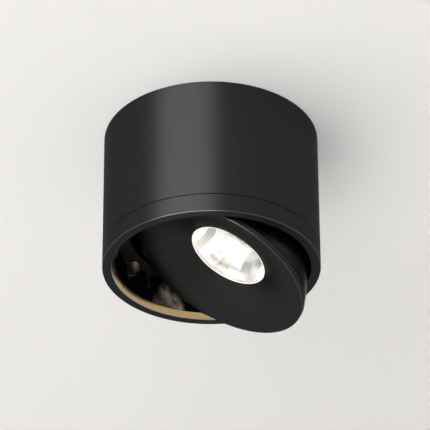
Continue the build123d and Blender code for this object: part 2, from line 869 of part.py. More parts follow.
os.makedirs("parts", exist_ok=True)
for nodes, frame in ((fixed_nodes, Location()), (ring_nodes, ring_frame), (head_nodes, head_frame)):
    for name, make in nodes.items():
        save(name, make(), frame)
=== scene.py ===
"""Looks of a surface mounted ceiling spotlight.

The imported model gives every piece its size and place. This script models in finer shape the pieces
that show, gives every piece its finish, and sets the ceiling, lamps and camera. It works in the frame
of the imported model: the origin is the centre of the ceiling plane and +Z points up into the ceiling.
Objects are in metres. Sizes in the classes are millimetres, as on a drawing.
"""

import json
import logging
import math
from dataclasses import dataclass, field, replace
from enum import Enum
from typing import NamedTuple, Sequence

import bpy
from mathutils import Matrix, Vector

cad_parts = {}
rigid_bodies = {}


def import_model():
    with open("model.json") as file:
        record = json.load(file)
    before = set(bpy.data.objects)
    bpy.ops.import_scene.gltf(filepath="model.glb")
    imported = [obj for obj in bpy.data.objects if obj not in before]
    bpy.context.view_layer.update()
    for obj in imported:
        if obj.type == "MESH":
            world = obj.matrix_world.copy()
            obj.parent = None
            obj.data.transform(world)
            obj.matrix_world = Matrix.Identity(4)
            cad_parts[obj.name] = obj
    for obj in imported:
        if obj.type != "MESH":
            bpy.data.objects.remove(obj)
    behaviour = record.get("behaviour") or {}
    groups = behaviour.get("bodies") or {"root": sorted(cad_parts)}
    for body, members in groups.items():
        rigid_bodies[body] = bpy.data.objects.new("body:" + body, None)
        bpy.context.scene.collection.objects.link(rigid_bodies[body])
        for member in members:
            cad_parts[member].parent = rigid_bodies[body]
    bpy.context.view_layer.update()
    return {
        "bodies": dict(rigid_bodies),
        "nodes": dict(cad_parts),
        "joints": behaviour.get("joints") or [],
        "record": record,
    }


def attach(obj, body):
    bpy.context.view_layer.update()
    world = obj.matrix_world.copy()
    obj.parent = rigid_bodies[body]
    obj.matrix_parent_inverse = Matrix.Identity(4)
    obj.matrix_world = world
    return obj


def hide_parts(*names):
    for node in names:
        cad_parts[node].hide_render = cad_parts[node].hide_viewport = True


LOG = logging.getLogger("spotlight")
MM = 0.001
Colour = tuple[float, float, float]
Point = tuple[float, float]

# how many sides each size of turning has
SCREW_SIDES, STUD_SIDES, EMITTER_SIDES, BUSH_SIDES = 24, 32, 64, 96
GLASS_SIDES, SEAL_SIDES, RIM_SIDES = 128, 192, 256

# painted shade that darkens the inside of the turning ring, and painted glints laid over it
PAINTED_INSIDE_SHADE: Colour = (0.007, 0.0065, 0.006)
GLINT_SHIFT: Colour = (0.3, 0.1, 0.0)
GLINT_STRETCH: Colour = (1.0, 1.0, 0.5)
GLINT_MASKS = ((48.0, 0.51, 0.62), (300.0, 0.28, 0.74))
GLINT_WAVES, GLINT_WAVE_HEIGHT = 190.0, 0.002


# ---- finishes -----------------------------------------------------------------------------------
def fresh_material(name: str) -> tuple[bpy.types.Material, bpy.types.NodeTree, bpy.types.Node]:
    """Start a material.

    Args:
        name: its name.

    Returns:
        The material, its node tree and its principled shader.
    """
    material = bpy.data.materials.new(name)
    material.use_nodes = True
    return material, material.node_tree, material.node_tree.nodes["Principled BSDF"]


class Grain(Enum):
    """How the fine relief of a finish lies."""

    FINE = "fine"
    TURNED = "turned"
    ROLLED = "rolled"
    PEBBLED = "pebbled"


class PaintedLeanLight(NamedTuple):
    """Painted highlight or painted shade: colour of the faces whose cosine to the piece's axis is within a
    reach of a middle value.
    """

    middle: float
    reach: float
    colour: Colour


@dataclass(frozen=True)
class Finish:
    """A surface finish, built as a procedural material on Object coordinates.

    Args:
        name: material name.
        colour: base colour, linear.
        shade: darker or lighter colour that the base drifts towards.
        metallic: 1 for bare metal, 0 for coats and plastics.
        roughness: middle of the roughness range.
        spread: how far roughness wanders either side of the middle.
        grain: direction of the fine relief.
        grain_scale: size of the relief, in features per metre.
        relief: strength of the bump.
        depth: height of the relief in metres.
        specular: specular level of a coat or plastic.
        edge: how bright the surface stays at a glancing look, against its plain value.
        drawn: how far highlights are drawn out across the grain of a turned surface.
        axis: axis of a turned piece, which its edges are told by.
        painted_lean_light: painted highlights or painted shade on faces that lean a certain way, such as
            rounded edges.
        painted_glint: colour of the painted glints, patches that stand in for reflections inside a turned
            piece, or None.
        painted_inside_radius: everything nearer to the fitting's axis than this many metres is inside, and
            gets the painted shade and glints.
        spill: emission strength that stands in for lamp light on the piece.
    """

    name: str
    colour: Colour
    shade: Colour
    metallic: float = 0.0
    roughness: float = 0.5
    spread: float = 0.05
    grain: Grain = Grain.FINE
    grain_scale: float = 2500.0
    relief: float = 0.2
    depth: float = 0.00002
    specular: float = 0.5
    edge: float = 1.0
    drawn: float = 0.0
    axis: Colour = (0.0, 0.0, 1.0)
    painted_lean_light: tuple[PaintedLeanLight, ...] = ()
    painted_glint: Colour | None = None
    painted_inside_radius: float = 0.0545
    spill: float = 0.0

    def build(self) -> bpy.types.Material:
        """Build the node tree.

        Returns:
            The finished material.
        """
        material, tree, shader = fresh_material(self.name)
        shader.inputs["Metallic"].default_value = self.metallic
        shader.inputs["Specular IOR Level"].default_value = self.specular
        shader.inputs["Specular Tint"].default_value = (self.edge, self.edge, self.edge, 1.0)
        if self.drawn > 0.0:
            self._draw_out(tree, shader)
        place = self._place(tree)
        self._tint(tree, shader, place)
        self._gloss(tree, shader, place)
        self._bump(tree, shader, place)
        return material

    def _place(self, tree: bpy.types.NodeTree) -> bpy.types.NodeSocket:
        """Coordinates stretched along the grain.

        Args:
            tree: the material's node tree.

        Returns:
            The socket that gives the place on the piece.
        """
        where = tree.nodes.new("ShaderNodeTexCoord")
        if self.grain in (Grain.FINE, Grain.PEBBLED):
            return where.outputs["Object"]
        mapping = tree.nodes.new("ShaderNodeMapping")
        stretch = (1.0, 1.0, 14.0) if self.grain is Grain.TURNED else (0.06, 1.0, 1.0)
        mapping.inputs["Scale"].default_value = stretch
        tree.links.new(where.outputs["Object"], mapping.inputs["Vector"])
        return mapping.outputs["Vector"]

    def _draw_out(self, tree: bpy.types.NodeTree, shader: bpy.types.Node) -> None:
        """Draw highlights out across turning marks, which run round the fitting's axis.

        Args:
            tree: the material's node tree.
            shader: the principled shader.
        """
        where = tree.nodes.new("ShaderNodeTexCoord")
        round_axis = tree.nodes.new("ShaderNodeVectorMath")
        round_axis.operation = "CROSS_PRODUCT"
        round_axis.inputs[1].default_value = (0.0, 0.0, 1.0)
        turn = tree.nodes.new("ShaderNodeVectorTransform")
        turn.vector_type = "VECTOR"
        turn.convert_from, turn.convert_to = "OBJECT", "WORLD"
        unit = tree.nodes.new("ShaderNodeVectorMath")
        unit.operation = "NORMALIZE"
        tree.links.new(where.outputs["Object"], round_axis.inputs[0])
        tree.links.new(round_axis.outputs["Vector"], turn.inputs["Vector"])
        tree.links.new(turn.outputs["Vector"], unit.inputs[0])
        tree.links.new(unit.outputs["Vector"], shader.inputs["Tangent"])
        shader.inputs["Anisotropic"].default_value = self.drawn
        shader.inputs["Anisotropic Rotation"].default_value = 0.25

    def _noise(self, tree: bpy.types.NodeTree, place: bpy.types.NodeSocket, scale: float,
               detail: float) -> bpy.types.NodeSocket:
        """A noise pattern.

        Args:
            tree: the material's node tree.
            place: coordinates.
            scale: features per metre.
            detail: octaves.

        Returns:
            The factor socket.
        """
        noise = tree.nodes.new("ShaderNodeTexNoise")
        noise.inputs["Scale"].default_value = scale
        noise.inputs["Detail"].default_value = detail
        tree.links.new(place, noise.inputs["Vector"])
        return noise.outputs["Fac"]

    def _tint(self, tree: bpy.types.NodeTree, shader: bpy.types.Node, place: bpy.types.NodeSocket) -> None:
        """Let the colour drift between the base and the shade.

        Args:
            tree: the material's node tree.
            shader: the principled shader.
            place: coordinates.
        """
        mix = tree.nodes.new("ShaderNodeMix")
        mix.data_type = "RGBA"
        mix.inputs["A"].default_value = (*self.colour, 1.0)
        mix.inputs["B"].default_value = (*self.shade, 1.0)
        tree.links.new(self._noise(tree, place, self.grain_scale * 0.03, 4.0), mix.inputs["Factor"])
        tone = mix.outputs["Result"]
        # painted highlights and painted shade on faces, by how they lean
        for lean in self.painted_lean_light:
            tone = self._over(tree, tone, lean.colour, self._leaning(tree, lean))
        # painted shade darkens the inside of the piece, and painted glints lie over it
        if self.painted_glint:
            within = self._within(tree)
            tone = self._over(tree, tone, PAINTED_INSIDE_SHADE, within)
            tone = self._over(tree, tone, self.painted_glint, self._glint_patches(tree, within))
        tree.links.new(tone, shader.inputs["Base Color"])
        tree.links.new(tone, shader.inputs["Emission Color"])
        shader.inputs["Emission Strength"].default_value = self.spill

    def _over(self, tree: bpy.types.NodeTree, under: bpy.types.NodeSocket, colour: Colour,
              share: bpy.types.NodeSocket) -> bpy.types.NodeSocket:
        """Lay a colour over another where a mask says so.

        Args:
            tree: the material's node tree.
            under: the colour below.
            colour: the colour laid over it.
            share: the mask.

        Returns:
            The mixed colour.
        """
        mix = tree.nodes.new("ShaderNodeMix")
        mix.data_type = "RGBA"
        mix.inputs["B"].default_value = (*colour, 1.0)
        tree.links.new(under, mix.inputs["A"])
        tree.links.new(share, mix.inputs["Factor"])
        return mix.outputs["Result"]

    def _leaning(self, tree: bpy.types.NodeTree, tone: PaintedLeanLight) -> bpy.types.NodeSocket:
        """Mask of the faces that lean a certain way from the piece's axis.

        Args:
            tree: the material's node tree.
            tone: which faces.

        Returns:
            The mask.
        """
        where = tree.nodes.new("ShaderNodeTexCoord")
        lean = tree.nodes.new("ShaderNodeVectorMath")
        lean.operation = "DOT_PRODUCT"
        lean.inputs[1].default_value = self.axis
        either_way = tree.nodes.new("ShaderNodeMath")
        either_way.operation = "ABSOLUTE"
        near = tree.nodes.new("ShaderNodeMath")
        near.operation = "COMPARE"
        near.inputs[1].default_value, near.inputs[2].default_value = tone.middle, tone.reach
        tree.links.new(where.outputs["Normal"], lean.inputs[0])
        tree.links.new(lean.outputs["Value"], either_way.inputs[0])
        tree.links.new(either_way.outputs["Value"], near.inputs[0])
        return near.outputs["Value"]

    def _within(self, tree: bpy.types.NodeTree) -> bpy.types.NodeSocket:
        """Mask of the inside of a turned piece, where the painted shade and painted glints go.

        Args:
            tree: the material's node tree.

        Returns:
            The mask.
        """
        where = tree.nodes.new("ShaderNodeTexCoord")
        flat = tree.nodes.new("ShaderNodeVectorMath")
        flat.operation = "MULTIPLY"
        flat.inputs[1].default_value = (1.0, 1.0, 0.0)
        away = tree.nodes.new("ShaderNodeVectorMath")
        away.operation = "LENGTH"
        within = tree.nodes.new("ShaderNodeMath")
        within.operation = "LESS_THAN"
        within.inputs[1].default_value = self.painted_inside_radius
        tree.links.new(where.outputs["Object"], flat.inputs[0])
        tree.links.new(flat.outputs["Vector"], away.inputs[0])
        tree.links.new(away.outputs["Value"], within.inputs[0])
        return within.outputs["Value"]

    def _glint_patches(self, tree: bpy.types.NodeTree, mask: bpy.types.NodeSocket) -> bpy.types.NodeSocket:
        """Break a mask up into patches of painted glints, which stand in for reflections of the room.

        Args:
            tree: the material's node tree.
            mask: the mask.

        Returns:
            The patchy mask.
        """
        where = tree.nodes.new("ShaderNodeTexCoord")
        upright = tree.nodes.new("ShaderNodeMapping")
        upright.inputs["Scale"].default_value = GLINT_STRETCH
        upright.inputs["Location"].default_value = GLINT_SHIFT
        tree.links.new(where.outputs["Object"], upright.inputs["Vector"])
        for scale, low, high in GLINT_MASKS:
            span = tree.nodes.new("ShaderNodeMapRange")
            span.inputs["From Min"].default_value, span.inputs["From Max"].default_value = low, high
            share = tree.nodes.new("ShaderNodeMath")
            share.operation = "MULTIPLY"
            tree.links.new(self._noise(tree, upright.outputs["Vector"], scale, 2.0), span.inputs["Value"])
            tree.links.new(span.outputs["Result"], share.inputs[0])
            tree.links.new(mask, share.inputs[1])
            mask = share.outputs["Value"]
        return mask

    def _gloss(self, tree: bpy.types.NodeTree, shader: bpy.types.Node, place: bpy.types.NodeSocket) -> None:
        """Let the roughness wander.

        Args:
            tree: the material's node tree.
            shader: the principled shader.
            place: coordinates.
        """
        spread = tree.nodes.new("ShaderNodeMapRange")
        spread.inputs["To Min"].default_value = max(0.02, self.roughness - self.spread)
        spread.inputs["To Max"].default_value = min(1.0, self.roughness + self.spread)
        tree.links.new(self._noise(tree, place, self.grain_scale * 0.12, 3.0), spread.inputs["Value"])
        tree.links.new(spread.outputs["Result"], shader.inputs["Roughness"])

    def _bump(self, tree: bpy.types.NodeTree, shader: bpy.types.Node, place: bpy.types.NodeSocket) -> None:
        """Fine relief.

        Args:
            tree: the material's node tree.
            shader: the principled shader.
            place: coordinates.
        """
        bump = tree.nodes.new("ShaderNodeBump")
        bump.inputs["Strength"].default_value = self.relief
        bump.inputs["Distance"].default_value = self.depth
        if self.grain is Grain.PEBBLED:
            cells = tree.nodes.new("ShaderNodeTexVoronoi")
            cells.inputs["Scale"].default_value = self.grain_scale
            tree.links.new(place, cells.inputs["Vector"])
            height = cells.outputs["Distance"]
        else:
            height = self._noise(tree, place, self.grain_scale, 2.0)
        tree.links.new(height, bump.inputs["Height"])
        # the painted glints also get a bump of their own
        if self.painted_glint:
            waves = tree.nodes.new("ShaderNodeBump")
            waves.inputs["Distance"].default_value = GLINT_WAVE_HEIGHT
            tree.links.new(self._glint_patches(tree, self._within(tree)), waves.inputs["Strength"])
            tree.links.new(self._noise(tree, place, GLINT_WAVES, 1.0), waves.inputs["Height"])
            tree.links.new(waves.outputs["Normal"], bump.inputs["Normal"])
        tree.links.new(bump.outputs["Normal"], shader.inputs["Normal"])


@dataclass(frozen=True)
class Glow:
    """Light-giving surface of the lamp, whose colour drifts a little warmer in a fine pattern.

    Args:
        name: material name.
        colour: colour of the light.
        strength: emission strength.
    """

    name: str
    colour: Colour
    strength: float

    def build(self) -> bpy.types.Material:
        """Build the node tree.

        Returns:
            The finished material.
        """
        material, tree, shader = fresh_material(self.name)
        shader.inputs["Base Color"].default_value = (0.9, 0.75, 0.35, 1.0)
        shader.inputs["Roughness"].default_value = 0.5
        shader.inputs["Emission Strength"].default_value = self.strength
        where = tree.nodes.new("ShaderNodeTexCoord")
        noise = tree.nodes.new("ShaderNodeTexNoise")
        noise.inputs["Scale"].default_value = 900.0
        tree.links.new(where.outputs["Object"], noise.inputs["Vector"])
        mix = tree.nodes.new("ShaderNodeMix")
        mix.data_type = "RGBA"
        mix.inputs["A"].default_value = (*self.colour, 1.0)
        mix.inputs["B"].default_value = (self.colour[0], self.colour[1] * 0.97, self.colour[2] * 0.92, 1.0)
        tree.links.new(noise.outputs["Fac"], mix.inputs["Factor"])
        tree.links.new(mix.outputs["Result"], shader.inputs["Emission Color"])
        return material


@dataclass(frozen=True)
class LitMirror:
    """Mirror finish of the lit reflector. Each facet has its own painted brightness, kept in the mesh as
    "facet", that stands in for how the lamp lights it.

    Args:
        name: material name.
        bright: colour of the brightest facets.
        dim: colour of the dimmest ones.
        roughness: roughness of the metal.
        glow_low: emission of the dimmest facets, which stands in for stray light.
        glow_high: emission of the brightest ones.
    """

    name: str
    bright: Colour
    dim: Colour
    roughness: float
    glow_low: float
    glow_high: float

    def build(self) -> bpy.types.Material:
        """Build the node tree.

        Returns:
            The finished material.
        """
        material, tree, shader = fresh_material(self.name)
        shader.inputs["Metallic"].default_value = 1.0
        tone = tree.nodes.new("ShaderNodeAttribute")
        tone.attribute_name = "facet"
        tint = tree.nodes.new("ShaderNodeMix")
        tint.data_type = "RGBA"
        tint.inputs["A"].default_value = (*self.dim, 1.0)
        tint.inputs["B"].default_value = (*self.bright, 1.0)
        tree.links.new(tone.outputs["Fac"], tint.inputs["Factor"])
        tree.links.new(tint.outputs["Result"], shader.inputs["Base Color"])
        tree.links.new(tint.outputs["Result"], shader.inputs["Emission Color"])
        glow = tree.nodes.new("ShaderNodeMapRange")
        glow.inputs["To Min"].default_value = self.glow_low
        glow.inputs["To Max"].default_value = self.glow_high
        tree.links.new(tone.outputs["Fac"], glow.inputs["Value"])
        tree.links.new(glow.outputs["Result"], shader.inputs["Emission Strength"])
        where = tree.nodes.new("ShaderNodeTexCoord")
        haze = tree.nodes.new("ShaderNodeTexNoise")
        haze.inputs["Scale"].default_value = 400.0
        span = tree.nodes.new("ShaderNodeMapRange")
        span.inputs["To Min"].default_value = self.roughness - 0.04
        span.inputs["To Max"].default_value = self.roughness + 0.04
        tree.links.new(where.outputs["Object"], haze.inputs["Vector"])
        tree.links.new(haze.outputs["Fac"], span.inputs["Value"])
        tree.links.new(span.outputs["Result"], shader.inputs["Roughness"])
        return material


@dataclass(frozen=True)
class ClearGlass:
    """Clear cover glass that light passes without being bent.

    Args:
        name: material name.
        tint: colour of the glass.
        gloss: share of the surface reflection.
    """

    name: str
    tint: Colour
    gloss: float

    def build(self) -> bpy.types.Material:
        """Build the node tree.

        Returns:
            The finished material.
        """
        material, tree, shader = fresh_material(self.name)
        shader.inputs["Base Color"].default_value = (*self.tint, 1.0)
        shader.inputs["Transmission Weight"].default_value = 1.0
        shader.inputs["IOR"].default_value = 1.45
        where = tree.nodes.new("ShaderNodeTexCoord")
        smear = tree.nodes.new("ShaderNodeTexNoise")
        smear.inputs["Scale"].default_value = 120.0
        spread = tree.nodes.new("ShaderNodeMapRange")
        spread.inputs["To Min"].default_value = 0.0
        spread.inputs["To Max"].default_value = self.gloss
        tree.links.new(where.outputs["Object"], smear.inputs["Vector"])
        tree.links.new(smear.outputs["Fac"], spread.inputs["Value"])
        tree.links.new(spread.outputs["Result"], shader.inputs["Roughness"])
        return material


AnyFinish = Finish | Glow | LitMirror | ClearGlass

# the pale tone on rounded edges is a painted edge highlight
BLACK_COAT = Finish("black_coat", (0.036, 0.036, 0.036), (0.040, 0.040, 0.040), metallic=1.0, roughness=0.5,
                    spread=0.02, grain=Grain.PEBBLED, grain_scale=5200.0, relief=0.08, depth=0.00001,
                    edge=0.5, drawn=0.9, painted_lean_light=(PaintedLeanLight(0.46, 0.27, (0.17, 0.17, 0.17)),))
# the coat with painted shade inside and painted glints over it
GLINT_SHADE_COAT = replace(BLACK_COAT, name="glint_shade_coat", painted_glint=(0.95, 0.83, 0.64))
# the pale tone on the rounded edges is a painted edge highlight
BLACK_DISC = Finish("black_disc", (0.030, 0.030, 0.030), (0.034, 0.034, 0.034), metallic=1.0, roughness=0.40,
                    spread=0.02, grain=Grain.PEBBLED, grain_scale=5200.0, relief=0.08, depth=0.00001,
                    edge=0.5, painted_lean_light=(PaintedLeanLight(0.46, 0.27, (0.115, 0.105, 0.095)),))
BLACK_ANODISED = Finish("black_anodised", (0.026, 0.026, 0.026), (0.032, 0.032, 0.031), metallic=1.0,
                        roughness=0.30, spread=0.03, relief=0.1, edge=0.4)
BLACK_STEEL = Finish("black_steel", (0.008, 0.008, 0.008), (0.012, 0.011, 0.010), roughness=0.7,
                     spread=0.08, relief=0.2, specular=0.12)
# near black on the flat faces is painted shade, and the grey on the cut edge is a painted highlight
GOLD_ANODISED = Finish("gold_anodised", (0.47, 0.33, 0.13), (0.53, 0.38, 0.16), metallic=1.0, roughness=0.2,
                       spread=0.03, grain=Grain.TURNED, grain_scale=1400.0, relief=0.15,
                       painted_lean_light=(PaintedLeanLight(1.0, 0.1, (0.03, 0.028, 0.025)),
                              PaintedLeanLight(0.66, 0.06, (0.34, 0.35, 0.36))))
ZINC_STEEL = Finish("zinc_steel", (0.50, 0.51, 0.52), (0.60, 0.60, 0.58), metallic=1.0, roughness=0.36,
                    spread=0.1, grain=Grain.ROLLED, grain_scale=1600.0, relief=0.2)
BRASS = Finish("brass", (0.70, 0.50, 0.22), (0.62, 0.43, 0.18), metallic=1.0, roughness=0.3)
SCREW_STEEL = Finish("screw_steel", (0.55, 0.55, 0.56), (0.45, 0.45, 0.45), metallic=1.0, roughness=0.3)
BLACK_SCREW = Finish("black_screw", (0.03, 0.03, 0.03), (0.02, 0.02, 0.02), metallic=0.6, roughness=0.4)
BLACK_RUBBER = Finish("black_rubber", (0.012, 0.012, 0.012), (0.02, 0.02, 0.02), roughness=0.7, relief=0.3)
GREY_PAD = Finish("grey_pad", (0.25, 0.26, 0.28), (0.32, 0.33, 0.34), roughness=0.8)
SLIP_PLASTIC = Finish("slip_plastic", (0.65, 0.63, 0.57), (0.7, 0.68, 0.62), roughness=0.45)
BLACK_SLIP = Finish("black_slip", (0.010, 0.010, 0.010), (0.014, 0.014, 0.014), roughness=0.55)
DRIVER_PLASTIC = Finish("driver_plastic", (0.72, 0.72, 0.70), (0.66, 0.66, 0.64), roughness=0.5,
                        grain=Grain.PEBBLED, grain_scale=1800.0, relief=0.35, depth=0.00004)
WHITE_PLASTIC = Finish("white_plastic", (0.78, 0.78, 0.76), (0.72, 0.72, 0.70), roughness=0.42)
# the spill makes the bezel glow as painted lamp light, and the orange on its rounded edge is a painted warm
# glint
BRIGHT_METAL = Finish("bright_metal", (0.92, 0.91, 0.89), (0.88, 0.87, 0.85), metallic=1.0, roughness=0.2,
                      spread=0.03, grain=Grain.TURNED, grain_scale=1600.0,
                      painted_lean_light=(PaintedLeanLight(0.46, 0.27, (0.90, 0.52, 0.26)),), spill=0.5)
# the bright and dim facets and their glow are painted lamp light
MIRROR_METAL = LitMirror("mirror_metal", (0.95, 0.95, 0.94), (0.66, 0.63, 0.57), 0.16, 0.12, 0.6)
BOARD_WHITE = Finish("board_white", (0.80, 0.80, 0.77), (0.76, 0.76, 0.73), roughness=0.35)
PHOSPHOR = Glow("emitter_phosphor", (1.0, 0.95, 0.88), 48.0)
GLASS = ClearGlass("clear_glass", (0.98, 0.99, 0.99), 0.03)


# ---- modelling ----------------------------------------------------------------------------------
class Corner(NamedTuple):
    """Corner of a turned outline: radius, height and the fillet that rounds it, in millimetres."""

    radius: float
    height: float
    fillet: float = 0.0


def rounded(corners: Sequence[Corner], steps: int = 4) -> list[Point]:
    """Outline of a closed turning with its fillets as short arcs.

    Args:
        corners: the corners in order, the last one joined to the first.
        steps: pieces of each fillet.

    Returns:
        The points of the outline, in millimetres.
    """
    points: list[Point] = []
    for index, corner in enumerate(corners):
        here = Vector((corner.radius, corner.height))
        if corner.fillet <= 0.0:
            points.append((here.x, here.y))
            continue
        following = corners[(index + 1) % len(corners)]
        back = (Vector(corners[index - 1][:2]) - here).normalized()
        ahead = (Vector(following[:2]) - here).normalized()
        half = back.angle(ahead) / 2
        reach = corner.fillet / math.tan(half)
        centre = here + (back + ahead).normalized() * corner.fillet / math.sin(half)
        start, end = here + back * reach - centre, here + ahead * reach - centre
        sweep = start.angle_signed(end)
        for step in range(steps + 1):
            spoke = start.copy()
            spoke.rotate(Matrix.Rotation(-sweep * step / steps, 2))
            points.append((centre.x + spoke.x, centre.y + spoke.y))
    return points


def bowed(start: Point, end: Point, slope: float, steps: int) -> list[Point]:
    """Arc from one point of an outline to another, leaving the first at a slope.

    Args:
        start: first point.
        end: last point.
        slope: angle in radians between the arc and the inward radius at the first point.
        steps: pieces of the arc.

    Returns:
        Points between the first and the last, both left out.
    """
    first, last = Vector(start), Vector(end)
    normal = Vector((math.sin(slope), math.cos(slope)))
    chord = last - first
    radius = chord.length_squared / (2 * chord.dot(normal))
    centre = first + normal * radius
    spoke, goal = first - centre, last - centre
    sweep = spoke.angle_signed(goal)
    points = []
    for step in range(1, steps):
        turned = spoke.copy()
        turned.rotate(Matrix.Rotation(-sweep * step / steps, 2))
        points.append((centre.x + turned.x, centre.y + turned.y))
    return points


def nothing_selected() -> None:
    """Deselect every object."""
    bpy.ops.object.select_all(action="DESELECT")


def settle(piece: bpy.types.Object, name: str, place: Matrix, crease: float = 30.0) -> bpy.types.Object:
    """Name a finished piece, put its place in its mesh and smooth it.

    Args:
        piece: the object, as the active one.
        name: its name.
        place: where it goes, from its own drawing to the fitting.
        crease: faces that meet at more than this many degrees keep a sharp edge.

    Returns:
        The piece.
    """
    piece.name = piece.data.name = name
    piece.matrix_world = place @ piece.matrix_world
    nothing_selected()
    piece.select_set(True)
    bpy.context.view_layer.objects.active = piece
    bpy.ops.object.transform_apply(location=True, rotation=True, scale=True)
    bpy.ops.object.shade_smooth_by_angle(angle=math.radians(crease))
    return piece


def clean_up() -> None:
    """Merge doubles and turn the faces outwards, in edit mode, then leave it."""
    bpy.ops.mesh.select_all(action="SELECT")
    bpy.ops.mesh.remove_doubles(threshold=0.000002)
    bpy.ops.mesh.normals_make_consistent(inside=False)
    bpy.ops.object.mode_set(mode="OBJECT")


def lathe(outline: Sequence[Point], steps: int, closed: bool = True) -> bpy.types.Object:
    """Turn a piece by drawing a circle out along an outline, ring by ring.

    Args:
        outline: radius and height of each ring, in millimetres.
        steps: sides of the circle.
        closed: join the last ring to the first. If not, both end rings are filled flat.

    Returns:
        The turning about Z, as the active object.
    """
    radius, height = outline[0]
    nothing_selected()
    bpy.ops.mesh.primitive_circle_add(vertices=steps, radius=radius * MM, location=(0, 0, height * MM),
                                      fill_type="NOTHING" if closed else "NGON")
    bpy.ops.object.transform_apply(location=True, rotation=True, scale=True)
    bpy.ops.object.mode_set(mode="EDIT")
    bpy.ops.mesh.select_mode(type="VERT")
    bpy.ops.mesh.select_all(action="SELECT")
    rings = list(outline[1:]) + ([outline[0]] if closed else [])
    for next_radius, next_height in rings:
        lift = (0.0, 0.0, (next_height - height) * MM)
        bpy.ops.mesh.extrude_region_move(TRANSFORM_OT_translate={"value": lift})
        share = next_radius / radius
        bpy.ops.transform.resize(value=(share, share, 1.0), center_override=(0.0, 0.0, 0.0))
        radius, height = next_radius, next_height
    clean_up()
    return bpy.context.object


def bar(corners: Sequence[Corner], steps: int) -> bpy.types.Object:
    """Turn a solid bar or disc whose outline starts and ends on flat faces.

    Args:
        corners: outer corners from the low face to the high one.
        steps: sides of the circle.

    Returns:
        The turning about Z, as the active object.
    """
    axis_low = Corner(0.0, corners[0].height)
    axis_high = Corner(0.0, corners[-1].height)
    points = [point for point in rounded([axis_low, *corners, axis_high]) if point[0] > 0.0]
    return lathe(points, steps, closed=False)


def sink_socket(radius: float, depth: float) -> None:
    """Press a six-sided socket into the top face of the active turning.

    Args:
        radius: corner radius of the socket, in millimetres.
        depth: how deep it goes.
    """
    piece = bpy.context.object
    bpy.ops.object.mode_set(mode="EDIT")
    bpy.ops.mesh.select_mode(type="FACE")
    bpy.ops.mesh.select_all(action="DESELECT")
    bpy.ops.object.mode_set(mode="OBJECT")
    top = max(piece.data.polygons, key=lambda face: face.center.z)
    across = max(piece.data.vertices[index].co.xy.length for index in top.vertices) / MM
    top.select = True
    bpy.ops.object.mode_set(mode="EDIT")
    bpy.ops.mesh.inset(thickness=(across - radius) * MM)
    bpy.ops.mesh.extrude_region_move(TRANSFORM_OT_translate={"value": (0, 0, -depth * MM)})
    clean_up()


def copies(piece: bpy.types.Object, places: Sequence[Matrix], name: str, frame: Matrix) -> bpy.types.Object:
    """Repeat a piece at several places and join the copies as one group.

    Args:
        piece: the piece, about its own origin.
        places: where each copy goes.
        name: name of the group.
        frame: from the group's drawing to the fitting.

    Returns:
        The group.
    """
    group = []
    for place in places:
        copy = piece.copy()
        copy.data = piece.data.copy()
        copy.data.transform(place)
        bpy.context.scene.collection.objects.link(copy)
        group.append(copy)
    bpy.data.objects.remove(piece)
    nothing_selected()
    for copy in group:
        copy.select_set(True)
    bpy.context.view_layer.objects.active = group[0]
    if len(group) > 1:
        bpy.ops.object.join()
    return settle(bpy.context.object, name, frame)


def turned_by(angle: float, axis: str = "Z") -> Matrix:
    """Turn about an axis, in degrees."""
    return Matrix.Rotation(math.radians(angle), 4, axis)


def moved_by(x: float, y: float, z: float) -> Matrix:
    """Move by millimetres."""
    return Matrix.Translation((x * MM, y * MM, z * MM))


@dataclass(frozen=True)
class Frames:
    """Drawing frames of the three bodies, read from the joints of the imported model.

    Args:
        housing: frame of the fixed pieces.
        ring: frame of the turning ring, +X towards the side the lamp leans to.
        head: frame of the head about its tilt centre, +Z out of its back.
    """

    housing: Matrix
    ring: Matrix
    head: Matrix

    @classmethod
    def from_joints(cls, joints: Sequence[dict]) -> "Frames":
        """Read the frames.

        Args:
            joints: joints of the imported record.

        Returns:
            The three frames.
        """
        tilt = next(joint for joint in joints if joint["name"] == "tilt")
        axis = Vector(tilt["axis"])
        aim = math.atan2(axis.x, -axis.y)
        ring = Matrix.Rotation(aim, 4, "Z")
        lean = Matrix.Rotation(math.radians(min(tilt["range_deg"])), 4, "Y")
        return cls(Matrix.Identity(4), ring, Matrix.Translation(tilt["pos_m"]) @ ring @ lean)


# ---- the sub-assemblies -------------------------------------------------------------------------
class Body(Enum):
    """Moving bodies of the fitting."""

    HOUSING = "housing"
    TURNING_RING = "turning_ring"
    LAMP_HEAD = "lamp_head"


